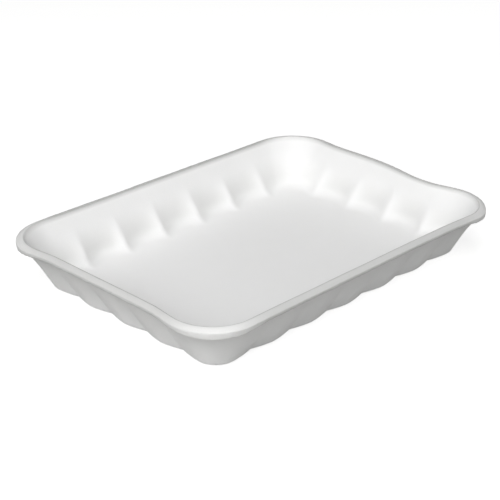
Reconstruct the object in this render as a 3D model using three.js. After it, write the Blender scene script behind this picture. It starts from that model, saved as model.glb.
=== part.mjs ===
// Foam meat tray: one piece of expanded polystyrene sheet, pressed hot into a shallow rectangular tray.
// Millimetres, +Z up. The origin is on the table under the middle of the base, and the long sides run along X.
// The tray is turned first as a round dish with the real wall section. That dish is then pressed onto
// the tray's rounded rectangle, and the scallops and the bends of the rim are pressed in with it.
import * as THREE from "three";
import { mergeVertices } from "three/addons/utils/BufferGeometryUtils.js";

// Rim, measured over its trimmed edge at the middle of each side
const rimLength = 237;
const rimWidth = 173.6;
const trayHeight = 32.3;
const rimCornerRadius = 28.5;

// Sheet and side walls
const sheetThickness = 3.6;
const floorThickness = 3.8;
const wallAngle = THREE.MathUtils.degToRad(63);
const wallFlare = 1;
const baseCornerRadius = 12.5;
const baseEdgeRadius = 6;
const floorEdgeRadius = 9;

// Turned-out lip: its crest, its trimmed edge, and the root where the outer wall starts under it
const crestInset = 4;
const crestRadius = 3;
const lipDrop = 1.2;
const lipEdgeHeight = 2;
const lipEdgeRounding = 0.6;
const lipRootInset = 4.6;
const lipRootDrop = 7;
const cornerLipDrop = 2.4;

// Scallops: lobes outside with sharp grooves between them, and soft ribs inside behind the grooves.
// One larger lobe turns each corner and keeps a straight run on either side of its bend.
const longSidePitch = 29.4;
const shortSidePitch = 28.4;
const cornerLobeRun = 6;
const grooveDepth = 3;
const grooveTopDrop = 7.5;
const grooveTaper = 0.7;
const sideLobeFullness = 1.5;
const cornerLobeFullness = 2.75;
const ribDepth = 3.2;
const ribTopDrop = 9;
const ribFullness = 2.4;
const ribSharpness = 1.6;
const ribRounding = 0.12;
const pocketDepth = 1.4;

// How the free rim has sprung out of true: the corners stand out like small ears, and the front long side
// sags, most of all at its right-hand corner
const cornerEar = 1.9;
const earBlend = 20;
const longSideSag = 1.1;
const rightCornerDroop = 5;
const leftCornerDroop = 1.6;
const flexibleHeight = 20;

// The dent in the right-hand short side, measured from the front end of that side
const dentFromFront = 57;
const dentReach = 25;
const dentInward = 3.2;
const dentSag = 1.8;

// Fineness of the mesh
const stepsPerLobe = 8;
const stepsPerCorner = 18;

const halfLength = rimLength / 2;
const halfWidth = rimWidth / 2;
const wallRun = 1 / Math.tan(wallAngle);
const rimFoot = trayHeight - lipRootDrop;
const lipEdgeTop = trayHeight - lipDrop;
const lipEdgeFoot = lipEdgeTop - lipEdgeHeight;
const earFull = halfWidth - rimCornerRadius;
const dentPlace = dentFromFront - halfWidth;

// Insets are measured inwards from the trimmed edge. The wall flares: it is steeper low down than under the lip.
function outerWallInset(z) {
  const share = z / rimFoot;
  return lipRootInset + (rimFoot - z) * wallRun + 4 * wallFlare * share * (1 - share);
}

function innerWallInset(z) {
  return outerWallInset(z) + sheetThickness / Math.sin(wallAngle);
}

// A point of the section, on a dish that is as wide as the tray
function sectionPoint(inset, z) {
  return new THREE.Vector2(halfWidth - inset, z);
}

function alongWall(wallInset, z, distance) {
  const rise = distance * Math.sin(wallAngle);
  return sectionPoint(wallInset(z + rise), z + rise);
}

function straight(from, to, steps) {
  return { curve: new THREE.LineCurve(from, to), steps };
}

function rounded(from, corner, to, steps) {
  return { curve: new THREE.QuadraticBezierCurve(from, corner, to), steps };
}

// The outside of the section: from the middle of the base, up the wall and over the lip to its crest
function outsideCurves() {
  const baseTangent = baseEdgeRadius * Math.tan(wallAngle / 2);
  const baseMiddle = sectionPoint(halfWidth, 0);
  const baseEdge = sectionPoint(outerWallInset(0) + baseTangent, 0);
  const baseCorner = sectionPoint(outerWallInset(0), 0);
  const wallFoot = alongWall(outerWallInset, 0, baseTangent);
  const wallTop = sectionPoint(lipRootInset, rimFoot);
  const rootCorner = sectionPoint(outerWallInset(lipEdgeFoot), lipEdgeFoot);
  const lipUnderside = sectionPoint(lipEdgeRounding, lipEdgeFoot);
  const lowerCorner = sectionPoint(0, lipEdgeFoot);
  const edgeLower = sectionPoint(0, lipEdgeFoot + lipEdgeRounding);
  const edgeUpper = sectionPoint(0, lipEdgeTop - lipEdgeRounding);
  const upperCorner = sectionPoint(0, lipEdgeTop);
  const lipShoulder = sectionPoint(lipEdgeRounding, lipEdgeTop);
  const lipCorner = sectionPoint(crestInset / 2, trayHeight);
  const crest = sectionPoint(crestInset, trayHeight);
  return [
    straight(baseMiddle, baseEdge, 1),
    rounded(baseEdge, baseCorner, wallFoot, 3),
    straight(wallFoot, wallTop, 3),
    rounded(wallTop, rootCorner, lipUnderside, 2),
    rounded(lipUnderside, lowerCorner, edgeLower, 1),
    straight(edgeLower, edgeUpper, 1),
    rounded(edgeUpper, upperCorner, lipShoulder, 1),
    rounded(lipShoulder, lipCorner, crest, 2),
  ];
}

// The inside of the section: from the crest of the lip, down the wall and across the floor to its middle
function insideCurves() {
  const floorTangent = floorEdgeRadius * Math.tan(wallAngle / 2);
  const crest = sectionPoint(crestInset, trayHeight);
  const crestCorner = sectionPoint(Math.max(innerWallInset(trayHeight), crestInset), trayHeight);
  const wallTop = alongWall(innerWallInset, trayHeight, -crestRadius);
  const wallFoot = alongWall(innerWallInset, floorThickness, floorTangent);
  const floorCorner = sectionPoint(innerWallInset(floorThickness), floorThickness);
  const floorEdge = sectionPoint(innerWallInset(floorThickness) + floorTangent, floorThickness);
  const floorMiddle = sectionPoint(halfWidth, floorThickness);
  return [
    rounded(crest, crestCorner, wallTop, 3),
    straight(wallTop, wallFoot, 4),
    rounded(wallFoot, floorCorner, floorEdge, 3),
    straight(floorEdge, floorMiddle, 1),
  ];
}

// Every ring of the dish, as a point of the section and the side of the sheet that it lies on
function traySection() {
  const stations = [{ point: sectionPoint(halfWidth, 0), inside: false }];
  for (const [curves, inside] of [[outsideCurves(), false], [insideCurves(), true]]) {
    for (const { curve, steps } of curves) {
      for (const point of curve.getPoints(steps).slice(1)) {
        stations.push({ point, inside });
      }
    }
  }
  return stations;
}

// As many lobes as fit between the two corner lobes of a side
function lobeCount(halfSide, pitch) {
  const baseRun = halfSide - outerWallInset(0) - baseCornerRadius;
  const rimRun = halfSide - rimCornerRadius;
  const room = 2 * (Math.min(baseRun, rimRun) - cornerLobeRun);
  return Math.max(1, Math.floor(room / pitch));
}

const longSideLobes = lobeCount(halfLength, longSidePitch);
const shortSideLobes = lobeCount(halfWidth, shortSidePitch);
const lastLongGroove = (longSideLobes * longSidePitch) / 2;
const lastShortGroove = (shortSideLobes * shortSidePitch) / 2;

// The stops round the tray, anticlockwise from above, starting with the front long side (turn 0).
// Between two grooves, across runs from -1 at one to 1 at the other.
function stopsRound() {
  const stops = [];
  for (const turn of [0, 1, 2, 3]) {
    const onLongSide = turn % 2 === 0;
    const lobes = onLongSide ? longSideLobes : shortSideLobes;
    const pitch = onLongSide ? longSidePitch : shortSidePitch;
    for (let step = 0; step < lobes * stepsPerLobe; step += 1) {
      const across = (2 * (step % stepsPerLobe)) / stepsPerLobe - 1;
      const place = (step / stepsPerLobe - lobes / 2) * pitch;
      stops.push({ turn, place, across, fullness: sideLobeFullness });
    }
    for (let step = 0; step < stepsPerCorner; step += 1) {
      const cornerPart = step / stepsPerCorner;
      stops.push({ turn, cornerPart, across: 2 * cornerPart - 1, fullness: cornerLobeFullness });
    }
  }
  return stops;
}

// Where a stop lies on the outline of one height, and which way is outwards there.
// It is worked out with the stop's own side below, and then turned to where that side is.
function placeOnOutline(stop, outlineHalfLength, outlineHalfWidth, cornerRadius) {
  const onLongSide = stop.turn % 2 === 0;
  const halfSide = onLongSide ? outlineHalfLength : outlineHalfWidth;
  const depth = onLongSide ? outlineHalfWidth : outlineHalfLength;
  const groove = onLongSide ? lastLongGroove : lastShortGroove;
  const nextGroove = onLongSide ? lastShortGroove : lastLongGroove;
  const point = new THREE.Vector2(stop.place, -depth);
  const outward = new THREE.Vector2(0, -1);
  if (stop.cornerPart !== undefined) {
    const before = halfSide - cornerRadius - groove;
    const arc = (cornerRadius * Math.PI) / 2;
    const after = depth - cornerRadius - nextGroove;
    const travel = stop.cornerPart * (before + arc + after);
    const swing = THREE.MathUtils.clamp((travel - before) / cornerRadius, 0, Math.PI / 2);
    outward.set(Math.sin(swing), -Math.cos(swing));
    point.set(halfSide - cornerRadius, cornerRadius - depth).addScaledVector(outward, cornerRadius);
    point.x += Math.min(travel - before, 0);
    point.y += Math.max(travel - before - arc, 0);
  }
  const middle = new THREE.Vector2(0, 0);
  const angle = (stop.turn * Math.PI) / 2;
  return { point: point.rotateAround(middle, angle), outward: outward.rotateAround(middle, angle) };
}

// How far the surface is pushed in at a stop: a lobe outside, and inside a soft rib and the pocket beside it,
// where the sheet has stretched thinner
function scallopDepth(stop, station) {
  const z = station.point.y;
  const across = Math.abs(stop.across);
  if (station.inside) {
    const ribTop = trayHeight - ribTopDrop;
    const share = THREE.MathUtils.clamp((ribTop - z) / (ribTop - floorThickness), 0, 1);
    const softened = 1 + ribRounding - Math.hypot(1 - across, ribRounding);
    const fullness = (ribFullness * stop.fullness) / sideLobeFullness;
    const rib = softened ** (fullness * (1 + (ribSharpness - 1) * (1 - share)));
    const pocket = THREE.MathUtils.smoothstep(share, 0, 0.8) * (1 - rib);
    return ribDepth * share * rib - pocketDepth * pocket;
  }
  const grooveTop = trayHeight - grooveTopDrop;
  const share = THREE.MathUtils.clamp((grooveTop - z) / grooveTop, 0, 1);
  return grooveDepth * share ** grooveTaper * across ** stop.fullness;
}

// How much lower the trimmed edge of the lip hangs where it rounds a corner
function cornerLipHang(stop, station) {
  if (stop.cornerPart === undefined || station.inside) {
    return 0;
  }
  const z = station.point.y;
  const nearCorner = Math.cos((stop.across * Math.PI) / 2) ** 2;
  const underLip = THREE.MathUtils.smoothstep(z, rimFoot, lipEdgeFoot);
  const overEdge = THREE.MathUtils.smoothstep(z, lipEdgeFoot, lipEdgeTop);
  return cornerLipDrop * nearCorner * (underLip - overEdge);
}

// Where the free rim has moved to, growing from nothing at the stiff lower wall
function bendRim(point) {
  const free = THREE.MathUtils.smoothstep(point.z, trayHeight - flexibleHeight, trayHeight);
  const toRight = point.x / halfLength;
  const toFront = Math.max(-point.y / halfWidth, 0);
  const ear = THREE.MathUtils.smoothstep(Math.abs(point.y), earFull - earBlend, earFull);
  const dentPart = (point.y - dentPlace) / dentReach;
  const dent = toRight > 0 ? Math.exp(-(dentPart ** 2)) * toRight ** 4 : 0;
  const droop = (toRight > 0 ? rightCornerDroop : leftCornerDroop) * Math.abs(toRight * toFront) ** 3;
  const sag = longSideSag * (1 - toRight ** 2) * toFront ** 2;
  point.x += free * (cornerEar * ear * toRight ** 3 - dentInward * dent);
  point.z -= free * (dentSag * dent + droop + sag);
}

function placeOnTray(stop, station) {
  const inset = halfWidth - station.point.x;
  const wallFootInset = station.inside ? innerWallInset(floorThickness) : outerWallInset(0);
  const cornerShare = Math.min(inset / wallFootInset, 1);
  const cornerRadius = THREE.MathUtils.lerp(rimCornerRadius, baseCornerRadius, cornerShare);
  const placed = new THREE.Vector3(0, 0, station.point.y);
  if (inset < halfWidth) {
    const outline = placeOnOutline(stop, halfLength - inset, halfWidth - inset, cornerRadius);
    outline.point.addScaledVector(outline.outward, -scallopDepth(stop, station));
    placed.set(outline.point.x, outline.point.y, station.point.y - cornerLipHang(stop, station));
  }
  bendRim(placed);
  return placed;
}

// The middles of the base and the floor are single points, so the triangles that shrink there go
function withoutFlatTriangles(geometry) {
  const index = geometry.getIndex().array;
  const kept = [];
  for (let i = 0; i < index.length; i += 3) {
    const [a, b, c] = index.slice(i, i + 3);
    if (a !== b && b !== c && c !== a) {
      kept.push(a, b, c);
    }
  }
  geometry.setIndex(kept);
  return geometry;
}

function makeTray() {
  const section = traySection();
  const stops = stopsRound();
  const turned = new THREE.LatheGeometry(section.map((station) => station.point), stops.length);
  const position = turned.getAttribute("position");
  for (let i = 0; i < position.count; i += 1) {
    const stop = stops[Math.floor(i / section.length) % stops.length];
    const placed = placeOnTray(stop, section[i % section.length]);
    position.setXYZ(i, placed.x, placed.y, placed.z);
  }
  turned.deleteAttribute("normal");
  turned.deleteAttribute("uv");
  const pressed = withoutFlatTriangles(mergeVertices(turned));
  pressed.computeVertexNormals();
  return pressed;
}

const foam = new THREE.MeshStandardMaterial({ color: 0xf1f1ee, roughness: 0.8, metalness: 0 });
const tray = new THREE.Mesh(makeTray(), foam);
tray.name = "tray";

const model = new THREE.Group();
model.add(tray);

export default model;
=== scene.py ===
import math

import bpy
import numpy as np
from mathutils import Matrix, Vector, noise


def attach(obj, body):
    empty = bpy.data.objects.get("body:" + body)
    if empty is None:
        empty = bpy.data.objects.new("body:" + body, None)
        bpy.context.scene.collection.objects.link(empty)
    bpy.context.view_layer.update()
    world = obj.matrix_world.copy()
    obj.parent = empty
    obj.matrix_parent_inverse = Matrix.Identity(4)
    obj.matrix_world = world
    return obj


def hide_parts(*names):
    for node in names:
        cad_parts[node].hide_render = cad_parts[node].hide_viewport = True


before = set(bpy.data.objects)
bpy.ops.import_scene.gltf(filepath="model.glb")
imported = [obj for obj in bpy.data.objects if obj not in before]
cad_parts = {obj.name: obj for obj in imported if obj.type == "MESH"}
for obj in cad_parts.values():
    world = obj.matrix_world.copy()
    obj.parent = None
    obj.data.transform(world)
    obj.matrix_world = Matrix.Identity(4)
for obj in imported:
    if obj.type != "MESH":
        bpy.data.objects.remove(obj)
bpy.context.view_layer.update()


# The camera
# It stands in front of the tray's front corner and looks down on it from about 25 degrees,
# from far enough away that the tray's sides hardly converge.

view_azimuth = math.radians(-45.185)
view_elevation = math.radians(25.271)
view_roll = math.radians(-0.1665)
view_distance = 0.76521
view_aside = -0.004666
view_aloft = 0.00967
sensor_width = 36
focal_length = 94.71

towards_camera = Vector((
    math.sin(view_azimuth) * math.cos(view_elevation),
    -math.cos(view_azimuth) * math.cos(view_elevation),
    math.sin(view_elevation),
))
level_right = Vector((0, 0, 1)).cross(towards_camera).normalized()
level_up = towards_camera.cross(level_right)
image_right = math.cos(view_roll) * level_right + math.sin(view_roll) * level_up
image_up = math.cos(view_roll) * level_up - math.sin(view_roll) * level_right

camera_axes = Matrix((image_right, image_up, towards_camera)).transposed()
camera_place = view_aside * image_right + view_aloft * image_up + view_distance * towards_camera
camera_lens = bpy.data.cameras.new("camera")
camera_lens.sensor_width = sensor_width
camera_lens.lens = focal_length
camera = bpy.data.objects.new("camera", camera_lens)
camera.matrix_world = Matrix.Translation(camera_place) @ camera_axes.to_4x4()
bpy.context.collection.objects.link(camera)
bpy.context.scene.camera = camera


# The white table
# A wide sheet of white board, which throws light back up under the tray's walls and takes its soft shadow.
# To the camera it also glows a little, so that it reads as the white of the photograph's background.

table_reach = 4
table_white = (0.5, 0.5, 0.495, 1)
table_lighter_white = (0.53, 0.53, 0.525, 1)
table_grain_scale = 40
table_glow = 0.75

table_mesh = bpy.data.meshes.new("table")
table_mesh.from_pydata(
    [(x, y, 0) for x, y in ((-table_reach, -table_reach), (table_reach, -table_reach),
                            (table_reach, table_reach), (-table_reach, table_reach))],
    [],
    [(0, 1, 2, 3)],
)
table = bpy.data.objects.new("table", table_mesh)
bpy.context.collection.objects.link(table)

table_paint = bpy.data.materials.new("white board")
table_paint.use_nodes = True
table_nodes = table_paint.node_tree.nodes
table_links = table_paint.node_tree.links
table_nodes.clear()
table_grain = table_nodes.new("ShaderNodeTexNoise")
table_grain.inputs["Scale"].default_value = table_grain_scale
table_tone = table_nodes.new("ShaderNodeMix")
table_tone.data_type = "RGBA"
table_tone.inputs["A"].default_value = table_white
table_tone.inputs["B"].default_value = table_lighter_white
table_matt = table_nodes.new("ShaderNodeBsdfDiffuse")
table_light = table_nodes.new("ShaderNodeEmission")
table_seen = table_nodes.new("ShaderNodeLightPath")
table_seen_glow = table_nodes.new("ShaderNodeMath")
table_seen_glow.operation = "MULTIPLY"
table_seen_glow.inputs[1].default_value = table_glow
table_sum = table_nodes.new("ShaderNodeAddShader")
table_out = table_nodes.new("ShaderNodeOutputMaterial")
table_links.new(table_grain.outputs["Fac"], table_tone.inputs["Factor"])
table_links.new(table_tone.outputs["Result"], table_matt.inputs["Color"])
table_links.new(table_seen.outputs["Is Camera Ray"], table_seen_glow.inputs[0])
table_links.new(table_seen_glow.outputs[0], table_light.inputs["Strength"])
table_links.new(table_matt.outputs[0], table_sum.inputs[0])
table_links.new(table_light.outputs[0], table_sum.inputs[1])
table_links.new(table_sum.outputs[0], table_out.inputs["Surface"])
table_mesh.materials.append(table_paint)


# The light
# Square softboxes hang over the tray, to the left and right of it and above the camera, and a low one
# lights its front corner. The white room fills in weakly from all sides. To the camera it is plain white.

room_strength = 0.05
softbox_distance = 1.5
softbox_size = 0.8

room = bpy.data.worlds.new("white room")
room.use_nodes = True
room_nodes = room.node_tree.nodes
room_links = room.node_tree.links
room_nodes.clear()
room_seen = room_nodes.new("ShaderNodeLightPath")
room_fill = room_nodes.new("ShaderNodeBackground")
room_fill.inputs["Color"].default_value = (1, 1, 1, 1)
room_fill.inputs["Strength"].default_value = room_strength
room_white = room_nodes.new("ShaderNodeBackground")
room_white.inputs["Color"].default_value = (1, 1, 1, 1)
room_white.inputs["Strength"].default_value = 1
room_choice = room_nodes.new("ShaderNodeMixShader")
room_out = room_nodes.new("ShaderNodeOutputWorld")
room_links.new(room_seen.outputs["Is Camera Ray"], room_choice.inputs["Fac"])
room_links.new(room_fill.outputs[0], room_choice.inputs[1])
room_links.new(room_white.outputs[0], room_choice.inputs[2])
room_links.new(room_choice.outputs[0], room_out.inputs["Surface"])
bpy.context.scene.world = room
bpy.context.scene.view_settings.view_transform = "Standard"


# Azimuth 0 is in front of the front long side, and -90 is off the left-hand short side
def hang_softbox(name, azimuth, elevation, watts):
    direction = Vector((
        math.sin(math.radians(azimuth)) * math.cos(math.radians(elevation)),
        -math.cos(math.radians(azimuth)) * math.cos(math.radians(elevation)),
        math.sin(math.radians(elevation)),
    ))
    lamp = bpy.data.lights.new(name, "AREA")
    lamp.shape = "SQUARE"
    lamp.size = softbox_size
    lamp.energy = watts
    softbox = bpy.data.objects.new(name, lamp)
    softbox.location = softbox_distance * direction
    softbox.rotation_euler = direction.to_track_quat("Z", "Y").to_euler()
    bpy.context.collection.objects.link(softbox)


hang_softbox("left softbox", azimuth=-90, elevation=34, watts=9)
hang_softbox("top softbox", azimuth=-45, elevation=88, watts=5.2)
hang_softbox("front softbox", azimuth=-50, elevation=42, watts=7)
hang_softbox("right softbox", azimuth=40, elevation=32, watts=3.6)
hang_softbox("low softbox", azimuth=-35, elevation=13, watts=3.8)


# The tray
# One sheet of white expanded polystyrene, softened by heat and pressed between two moulds into a floor,
# scalloped walls, rounded corners and a turned-out lip. A die trims its edge, which bares the foam's cells.

# Sizes are in millimetres, as in the tray's own drawing. First the rim, the sheet and the side walls.
millimetres_per_metre = 1000
rim_length = 237
rim_width = 173.6
tray_height = 32.3
rim_corner_radius = 28.5
sheet_thickness = 3.6
floor_thickness = 3.8
wall_angle = math.radians(63)
wall_flare = 1
base_corner_radius = 12.5
base_edge_radius = 6
floor_edge_radius = 9

# The turned-out lip
crest_inset = 4
crest_radius = 3
lip_drop = 1.2
lip_edge_height = 2
lip_edge_rounding = 0.6
lip_root_inset = 4.6
lip_root_drop = 7
corner_lip_drop = 2.4

# The scallops: lobes outside with grooves between them, and ribs inside with pockets between them
long_side_pitch = 29.4
long_side_lobes = 5
short_side_pitch = 28.4
short_side_lobes = 3
groove_depth = 3
groove_top_drop = 7.5
groove_taper = 0.7
side_lobe_fullness = 1.5
corner_lobe_fullness = 2.75
rib_depth = 3.2
rib_top_drop = 9
rib_fullness = 2.4
rib_sharpness = 1.6
rib_rounding = 0.12
pocket_depth = 1.4
# Painted shade in the pockets: how grey it is, and the heights above the floor over which it fades in
pocket_shade_strength = 0.28
pocket_shade_start_above_floor = 0.5
pocket_shade_full_above_floor = 8

# The ways in which the free rim has sprung out of true
corner_ear = 1.9
ear_blend = 20
long_side_sag = 1.1
right_corner_droop = 5
left_corner_droop = 1.6
flexible_height = 20
dent_from_front = 57
dent_reach = 25
dent_inward = 3.2
dent_sag = 1.8

# How unevenly the skin lies and the edge is cut, and how far the grey of crushed foam and painted shade
# is cut back near a corner, which paints the corners lighter
skin_unevenness = 0.12
skin_wave_length = 22
even_height = 2
edge_roughness = 0.2
edge_tear_length = 1.9
corner_greying_spared = 0.6

# Fineness of the mesh
steps_per_lobe = 32
steps_per_corner = 90
flat_margin = 1.5

half_length = rim_length / 2
half_width = rim_width / 2
rim_foot = tray_height - lip_root_drop
lip_edge_top = tray_height - lip_drop
lip_edge_foot = lip_edge_top - lip_edge_height


def smooth_step(value, low, high):
    part = np.clip((value - low) / (high - low), 0, 1)
    return part * part * (3 - 2 * part)


def outer_wall(z):
    share = z / rim_foot
    return lip_root_inset + (rim_foot - z) / math.tan(wall_angle) + 4 * wall_flare * share * (1 - share)


def inner_wall(z):
    return outer_wall(z) + sheet_thickness / math.sin(wall_angle)


def up_wall(wall, z, distance):
    height = z + distance * math.sin(wall_angle)
    return (wall(height), height)


def rounded(start, corner, end, steps):
    part = (np.arange(1, steps + 1) / steps)[:, None]
    start, corner, end = np.array(start), np.array(corner), np.array(end)
    return (1 - part) ** 2 * start + 2 * part * (1 - part) * corner + part ** 2 * end


def straight(start, end, steps):
    part = (np.arange(1, steps + 1) / steps)[:, None]
    return (1 - part) * np.array(start) + part * np.array(end)


# The section through the sheet, as insets from the trimmed edge and heights. It runs from the base's edge
# up the outside and over the lip, and down the inside to the floor's edge. With each curve stand whether
# it is trimmed, and how grey its foam is by its end. That grey is painted shade high on the outer wall and
# under the lip, partly crushed foam and partly painted shade on the lip, and a painted dark line at the
# crest.
def outside_section():
    tangent = base_edge_radius * math.tan(wall_angle / 2)
    base_edge = (outer_wall(0) + tangent, 0)
    wall_foot = up_wall(outer_wall, 0, tangent)
    wall_top = (lip_root_inset, rim_foot)
    lip_underside = (lip_edge_rounding, lip_edge_foot)
    edge_lower = (0, lip_edge_foot + lip_edge_rounding)
    edge_upper = (0, lip_edge_top - lip_edge_rounding)
    lip_shoulder = (lip_edge_rounding, lip_edge_top)
    crest = (crest_inset, tray_height)
    return [
        (np.array([(base_edge[0] + flat_margin, 0), base_edge]), False, 0),
        (rounded(base_edge, (outer_wall(0), 0), wall_foot, 6), False, 0),
        # The outer wall greys towards the top: painted shade under the lip
        (straight(wall_foot, wall_top, 11), False, 0.35),
        # Round under the lip the grey deepens: a painted shadow
        (rounded(wall_top, (outer_wall(lip_edge_foot), lip_edge_foot), lip_underside, 6), False, 1.3),
        # On the trimmed edge and the lip's top the grey is partly crushed foam and partly painted shade
        (rounded(lip_underside, (0, lip_edge_foot), edge_lower, 3), True, 0.9),
        (straight(edge_lower, edge_upper, 3), True, 0.9),
        (rounded(edge_upper, (0, lip_edge_top), lip_shoulder, 3), True, 0.6),
        (rounded(lip_shoulder, (crest_inset / 2, tray_height), crest, 8)[:-1], False, 0.5),
        # The crest is greyest, a painted dark line, and inside the grey fades out again down the crest's
        # rounding
        (np.array([crest]), False, 1.5),
    ]


def inside_section():
    tangent = floor_edge_radius * math.tan(wall_angle / 2)
    crest = (crest_inset, tray_height)
    crest_corner = (max(inner_wall(tray_height), crest_inset), tray_height)
    wall_top = up_wall(inner_wall, tray_height, -crest_radius)
    wall_foot = up_wall(inner_wall, floor_thickness, tangent)
    floor_edge = (inner_wall(floor_thickness) + tangent, floor_thickness)
    return [
        (rounded(crest, crest_corner, wall_top, 7), False, 0),
        (straight(wall_top, wall_foot, 14), False, 0),
        (rounded(wall_foot, (inner_wall(floor_thickness), floor_thickness), floor_edge, 8), False, 0),
        (straight(floor_edge, (floor_edge[0] + flat_margin, floor_thickness), 2), False, 0),
    ]


# The stops round the tray, anticlockwise from the left end of the front long side: which side they are on,
# how far along it, and where they are between two grooves, from -1 at one to 1 at the other.
def stops_round():
    sides = []
    for turn in range(4):
        lobes, pitch = ((long_side_lobes, long_side_pitch), (short_side_lobes, short_side_pitch))[turn % 2]
        step = np.arange(lobes * steps_per_lobe)
        place = (step / steps_per_lobe - lobes / 2) * pitch
        across = 2 * (step % steps_per_lobe) / steps_per_lobe - 1
        corner_part = np.arange(steps_per_corner) / steps_per_corner
        sides.append(np.column_stack([
            np.full(len(step), turn), place, across, np.full(len(step), -1)]))
        sides.append(np.column_stack([
            np.full(steps_per_corner, turn), np.zeros(steps_per_corner), 2 * corner_part - 1, corner_part]))
    return np.concatenate(sides)


# Where every stop lies on the outline at one inset, and which way is outwards there
def outline_at(stops, inset, corner_radius):
    turn, place, corner_part = stops[:, 0], stops[:, 1], stops[:, 3]
    on_long_side = turn % 2 == 0
    half_side = np.where(on_long_side, half_length, half_width) - inset
    depth = np.where(on_long_side, half_width, half_length) - inset
    long_groove = long_side_lobes * long_side_pitch / 2
    short_groove = short_side_lobes * short_side_pitch / 2
    before = half_side - corner_radius - np.where(on_long_side, long_groove, short_groove)
    after = depth - corner_radius - np.where(on_long_side, short_groove, long_groove)
    arc = corner_radius * math.pi / 2
    travel = corner_part * (before + arc + after)
    swing = np.clip((travel - before) / corner_radius, 0, math.pi / 2)
    in_corner = corner_part >= 0
    out_x = np.where(in_corner, np.sin(swing), 0)
    out_y = np.where(in_corner, -np.cos(swing), -1)
    corner_x = half_side - corner_radius + out_x * corner_radius + np.minimum(travel - before, 0)
    corner_y = corner_radius - depth + out_y * corner_radius + np.maximum(travel - before - arc, 0)
    x = np.where(in_corner, corner_x, place)
    y = np.where(in_corner, corner_y, -depth)
    cosine, sine = np.cos(turn * math.pi / 2), np.sin(turn * math.pi / 2)
    point = np.column_stack([x * cosine - y * sine, x * sine + y * cosine])
    outward = np.column_stack([out_x * cosine - out_y * sine, out_x * sine + out_y * cosine])
    return point, outward


def lobe_fullness(stops):
    return np.where(stops[:, 3] >= 0, corner_lobe_fullness, side_lobe_fullness)


def groove_push(stops, z):
    groove_top = tray_height - groove_top_drop
    share = np.clip((groove_top - z) / groove_top, 0, 1)
    return groove_depth * share ** groove_taper * np.abs(stops[:, 2]) ** lobe_fullness(stops)


def rib_and_pocket(stops, z):
    rib_top = tray_height - rib_top_drop
    share = np.clip((rib_top - z) / (rib_top - floor_thickness), 0, 1)
    from_rib = 1 - np.abs(stops[:, 2])
    across = 1 + rib_rounding - np.sqrt(from_rib ** 2 + rib_rounding ** 2)
    fullness = rib_fullness * lobe_fullness(stops) / side_lobe_fullness
    rib = across ** (fullness * (1 + (rib_sharpness - 1) * (1 - share)))
    return share * rib, smooth_step(share, 0, 0.8) * (1 - rib)


def rib_push(stops, z):
    rib, pocket = rib_and_pocket(stops, z)
    return rib_depth * rib - pocket_depth * pocket


# The pockets are painted greyer: painted shade in the hollows. That fades out just above the floor.
def pocket_painted_shade(stops, z):
    _, pocket = rib_and_pocket(stops, z)
    above_floor = z - floor_thickness
    return pocket_shade_strength * pocket * smooth_step(above_floor, pocket_shade_start_above_floor, pocket_shade_full_above_floor)


def nearness_to_corner(stops):
    return np.where(stops[:, 3] >= 0, np.cos(stops[:, 2] * math.pi / 2) ** 2, 0)


def lip_hang(stops, z):
    under_lip = smooth_step(z, rim_foot, lip_edge_foot)
    over_edge = smooth_step(z, lip_edge_foot, lip_edge_top)
    return corner_lip_drop * nearness_to_corner(stops) * (under_lip - over_edge)


# One ring of the tray for one point of the section
def ring_at(stops, inset, z, inside):
    foot_inset = inner_wall(floor_thickness) if inside else outer_wall(0)
    corner_share = min(inset / foot_inset, 1)
    corner_radius = rim_corner_radius + (base_corner_radius - rim_corner_radius) * corner_share
    point, outward = outline_at(stops, inset, corner_radius)
    push = rib_push(stops, z) if inside else groove_push(stops, z)
    hang = 0 if inside else lip_hang(stops, z)
    height = np.full(len(stops), z) - hang
    return np.column_stack([point - push[:, None] * outward, height])


# The free rim has sprung out of true: ears at the right-hand corners, a sagging front side with a drooping
# right-hand corner, and a dent in the right-hand short side.
def bend_rim(points):
    x, y, z = points.T
    free = smooth_step(z, tray_height - flexible_height, tray_height)
    to_right = x / half_length
    to_front = np.maximum(-y / half_width, 0)
    ear_full = half_width - rim_corner_radius
    ear = smooth_step(np.abs(y), ear_full - ear_blend, ear_full)
    dent_part = (y - dent_from_front + half_width) / dent_reach
    dent = np.where(to_right > 0, np.exp(-dent_part ** 2) * to_right ** 4, 0)
    corner_droop = np.where(to_right > 0, right_corner_droop, left_corner_droop)
    droop = corner_droop * np.abs(to_right * to_front) ** 3
    sag = long_side_sag * (1 - to_right ** 2) * to_front ** 2
    moved_x = x + free * (corner_ear * ear * to_right ** 3 - dent_inward * dent)
    moved_z = z - free * (dent_sag * dent + droop + sag)
    return np.column_stack([moved_x, y, moved_z])


stops = stops_round()
around = len(stops)
rings = []
ring_is_trimmed = []
ring_foot = []
# Each ring's grey of crushed foam and painted shade
ring_crush_and_shade = []
crush_and_shade_before = 0
for inside, section in ((False, outside_section()), (True, inside_section())):
    for section_points, trimmed, crush_and_shade_end in section:
        for step, (inset, z) in enumerate(section_points, start=1):
            rings.append(bend_rim(ring_at(stops, inset, z, inside)))
            ring_is_trimmed.append(trimmed)
            ring_foot.append(floor_thickness if inside else 0)
            crush_and_shade = crush_and_shade_before + (crush_and_shade_end - crush_and_shade_before) * step / len(section_points)
            ring_crush_and_shade.append(crush_and_shade + (pocket_painted_shade(stops, z) if inside else np.zeros(around)))
        crush_and_shade_before = crush_and_shade_end

points = np.concatenate(rings)
faces = []
face_is_trimmed = []
for ring, trimmed in enumerate(ring_is_trimmed[1:]):
    here, above = ring * around, (ring + 1) * around
    for step in range(around):
        following = (step + 1) % around
        faces.append((here + step, here + following, above + following, above + step))
        face_is_trimmed.append(trimmed)

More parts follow.
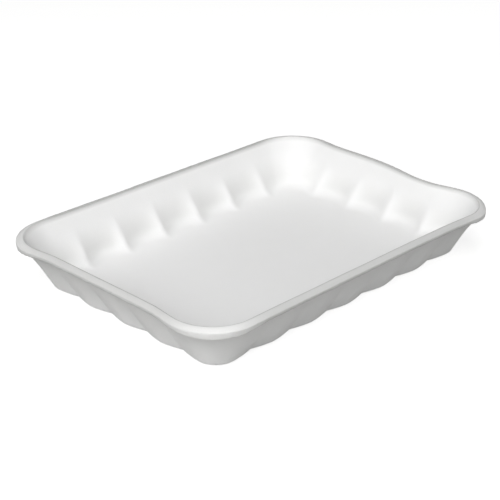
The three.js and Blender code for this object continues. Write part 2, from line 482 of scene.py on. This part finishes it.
# One flat face closes the base and one the floor
faces.append(range(around - 1, -1, -1))
faces.append(range(len(points) - around, len(points)))
face_is_trimmed.extend([False, False])

tray_mesh = bpy.data.meshes.new("tray sheet")
tray_mesh.from_pydata((points / millimetres_per_metre).tolist(), [], faces)
tray_mesh.update()

# The die leaves the edge slightly ragged, and the pressed skin of the walls is never quite flat
normals = np.empty(len(points) * 3)
tray_mesh.vertices.foreach_get("normal", normals)
normals = normals.reshape(-1, 3)
ragged = np.repeat(ring_is_trimmed, around)
uneven = np.clip((points[:, 2] - np.repeat(ring_foot, around)) / even_height, 0, 1)
for index, point in enumerate(points):
    wave = noise.noise(Vector(point / skin_wave_length)) * skin_unevenness * uneven[index]
    tear = noise.noise(Vector(point / edge_tear_length)) * edge_roughness * ragged[index]
    points[index] = point + normals[index] * (wave + tear)
tray_mesh.vertices.foreach_set("co", (points / millimetres_per_metre).ravel())
tray_mesh.update()

# Near the corners the grey of crushed foam and painted shade is cut back, from the trimmed edge over the
# lip and down the inside, so the corners are painted lighter
first_trimmed_ring = ring_is_trimmed.index(True)
for crush_and_shade in ring_crush_and_shade[first_trimmed_ring:]:
    crush_and_shade *= 1 - corner_greying_spared * nearness_to_corner(stops)
# The grey of crushed foam and painted shade at each point, mixed into the foam's colour
crush_and_painted_shade = tray_mesh.attributes.new("crush_and_painted_shade", "FLOAT", "POINT")
crush_and_painted_shade.data.foreach_set("value", np.concatenate(ring_crush_and_shade))
tray_mesh.polygons.foreach_set("use_smooth", [True] * len(faces))
tray_mesh.polygons.foreach_set("material_index", [int(trimmed) for trimmed in face_is_trimmed])

tray = bpy.data.objects.new("foam_tray", tray_mesh)
bpy.context.collection.objects.link(tray)


# The foam has small closed cells under a smooth pressed skin, and bare cells on the trimmed edge.
# It is mottled in two near whites, and greyed: partly crushed foam on the lip, and painted shade on the
# lip, under it, along the crest and in the pockets.
foam_white = (0.92, 0.92, 0.91, 1)
foam_lighter_white = (0.95, 0.95, 0.945, 1)
# The grey mixed in for crushed foam and for painted shade
crush_and_shade_grey = (0.5, 0.5, 0.49, 1)
cells_per_metre = 1100
clouds_per_metre = 70
speckles_per_metre = 900
speckle_share = 0.35
cell_relief = 0.35
roughness_spread = 0.08
skin_gloss = 0.4
glowing_share = 0.5
light_depth = 0.001


def foam(name, cell_depth, skin_roughness):
    material = bpy.data.materials.new(name)
    material.use_nodes = True
    nodes = material.node_tree.nodes
    links = material.node_tree.links
    nodes.clear()
    place = nodes.new("ShaderNodeTexCoord")
    cells = nodes.new("ShaderNodeTexVoronoi")
    cells.inputs["Scale"].default_value = cells_per_metre
    clouds = nodes.new("ShaderNodeTexNoise")
    clouds.inputs["Scale"].default_value = clouds_per_metre
    clouds.inputs["Detail"].default_value = 6
    speckle = nodes.new("ShaderNodeTexNoise")
    speckle.inputs["Scale"].default_value = speckles_per_metre
    speckle.inputs["Detail"].default_value = 3
    mottle = nodes.new("ShaderNodeMath")
    mottle.operation = "MULTIPLY_ADD"
    mottle.inputs[1].default_value = speckle_share
    tone = nodes.new("ShaderNodeMix")
    tone.data_type = "RGBA"
    tone.inputs["A"].default_value = foam_white
    tone.inputs["B"].default_value = foam_lighter_white
    crush_and_shade = nodes.new("ShaderNodeAttribute")
    crush_and_shade.attribute_name = "crush_and_painted_shade"
    # Greys the foam where it is crushed and where shade is painted
    greyed_by_crush_and_shade = nodes.new("ShaderNodeMix")
    greyed_by_crush_and_shade.data_type = "RGBA"
    greyed_by_crush_and_shade.inputs["B"].default_value = crush_and_shade_grey
    polish = nodes.new("ShaderNodeMapRange")
    polish.inputs["To Min"].default_value = skin_roughness - roughness_spread
    polish.inputs["To Max"].default_value = skin_roughness + roughness_spread
    relief = nodes.new("ShaderNodeBump")
    relief.inputs["Strength"].default_value = cell_relief
    relief.inputs["Distance"].default_value = cell_depth
    surface = nodes.new("ShaderNodeBsdfPrincipled")
    surface.inputs["Specular IOR Level"].default_value = skin_gloss
    surface.inputs["Subsurface Weight"].default_value = glowing_share
    surface.inputs["Subsurface Radius"].default_value = (1, 1, 1)
    surface.inputs["Subsurface Scale"].default_value = light_depth
    out = nodes.new("ShaderNodeOutputMaterial")
    for texture in (cells, clouds, speckle):
        links.new(place.outputs["Object"], texture.inputs["Vector"])
    links.new(speckle.outputs["Fac"], mottle.inputs[0])
    links.new(clouds.outputs["Fac"], mottle.inputs[2])
    links.new(mottle.outputs[0], tone.inputs["Factor"])
    links.new(tone.outputs["Result"], greyed_by_crush_and_shade.inputs["A"])
    links.new(crush_and_shade.outputs["Fac"], greyed_by_crush_and_shade.inputs["Factor"])
    links.new(greyed_by_crush_and_shade.outputs["Result"], surface.inputs["Base Color"])
    links.new(clouds.outputs["Fac"], polish.inputs["Value"])
    links.new(polish.outputs["Result"], surface.inputs["Roughness"])
    links.new(cells.outputs["Distance"], relief.inputs["Height"])
    links.new(relief.outputs["Normal"], surface.inputs["Normal"])
    links.new(surface.outputs[0], out.inputs["Surface"])
    return material


tray_mesh.materials.append(foam("pressed foam skin", cell_depth=0.00006, skin_roughness=0.5))
tray_mesh.materials.append(foam("trimmed foam edge", cell_depth=0.0004, skin_roughness=0.8))

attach(tray, "root")
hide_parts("tray")
